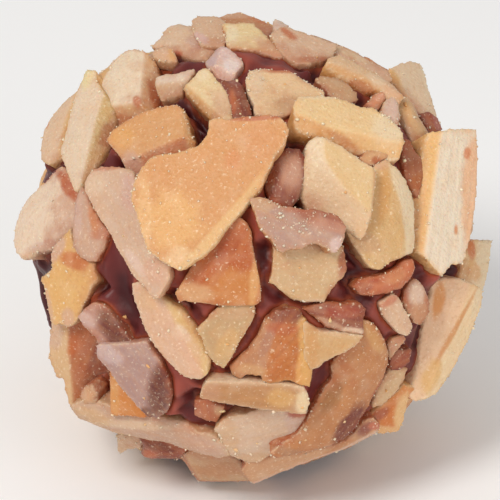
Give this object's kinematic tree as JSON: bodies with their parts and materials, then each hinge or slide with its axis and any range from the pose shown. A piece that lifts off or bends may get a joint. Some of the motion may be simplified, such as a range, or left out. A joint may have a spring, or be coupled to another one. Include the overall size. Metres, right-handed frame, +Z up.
{
  "type": "chocolate truffle",
  "caption": "Round milk chocolate truffle rolled in large chopped roasted almond pieces, resting on a small flat foot.",
  "frame": {"origin": "centre of the bounding box at the plane that the flat foot stands on", "axes": "+Z up from the flat foot through the ball; -Y is the front, the side with the heart-shaped almond piece; +X is to the right seen from the front"},
  "size_m": [0.0396, 0.0394, 0.0372],
  "materials": {
    "milk_chocolate": "waxy milk chocolate, soft sheen",
    "almond": "chopped roasted almond, waxy and slightly rough, cream to golden"
  },
  "bodies": {
    "root": {"almond_block_back_12": "almond", "almond_block_right": "almond", "almond_block_top_left": "almond", "almond_block_upper_left": "almond", "almond_chip_bottom": "almond", "almond_chip_left": "almond", "almond_chip_orange_right": "almond", "almond_chip_top_pink": "almond", "almond_chip_upper_right": "almond", "almond_corner_bottom_right": "almond", "almond_heart": "almond", "almond_knob_upper_left": "almond", "almond_lens_middle": "almond", "almond_lump_low_left": "almond", "almond_lump_orange": "almond", "almond_nut_coated": "almond", "almond_oval_bottom": "almond", "almond_oval_left": "almond", "almond_pentagon_middle": "almond", "almond_plank_bottom_left": "almond", "almond_plank_bottom_middle": "almond", "almond_plank_end_on": "almond", "almond_plank_right_back": "almond", "almond_plank_right_front": "almond", "almond_quad_toasted": "almond", "almond_quad_top_middle": "almond", "almond_ridge_top": "almond", "almond_shard_far_right": "almond", "almond_shard_film": "almond", "almond_shard_low_right": "almond", "almond_shard_pink": "almond", "almond_shard_right": "almond", "almond_shard_top": "almond", "almond_slab_far_right": "almond", "almond_slab_low_right": "almond", "almond_slab_orange": "almond", "almond_slab_top_right": "almond", "almond_slab_upper_right": "almond", "almond_slice_back_01": "almond", "almond_slice_back_03": "almond", "almond_slice_back_04": "almond", "almond_slice_back_05": "almond", "almond_slice_back_09": "almond", "almond_slice_back_10": "almond", "almond_slice_crest": "almond", "almond_slice_far_left": "almond", "almond_slice_far_upper_left": "almond", "almond_slice_lilac": "almond", "almond_slice_long_left": "almond", "almond_slice_low_right": "almond", "almond_sliver_back_02": "almond", "almond_sliver_back_06": "almond", "almond_sliver_back_07": "almond", "almond_sliver_back_08": "almond", "almond_sliver_back_11": "almond", "almond_sliver_bottom_right": "almond", "almond_sliver_upper_right": "almond", "almond_tusk": "almond", "almond_wedge_left": "almond", "chocolate": "milk_chocolate"}
  },
  "joints": []
}
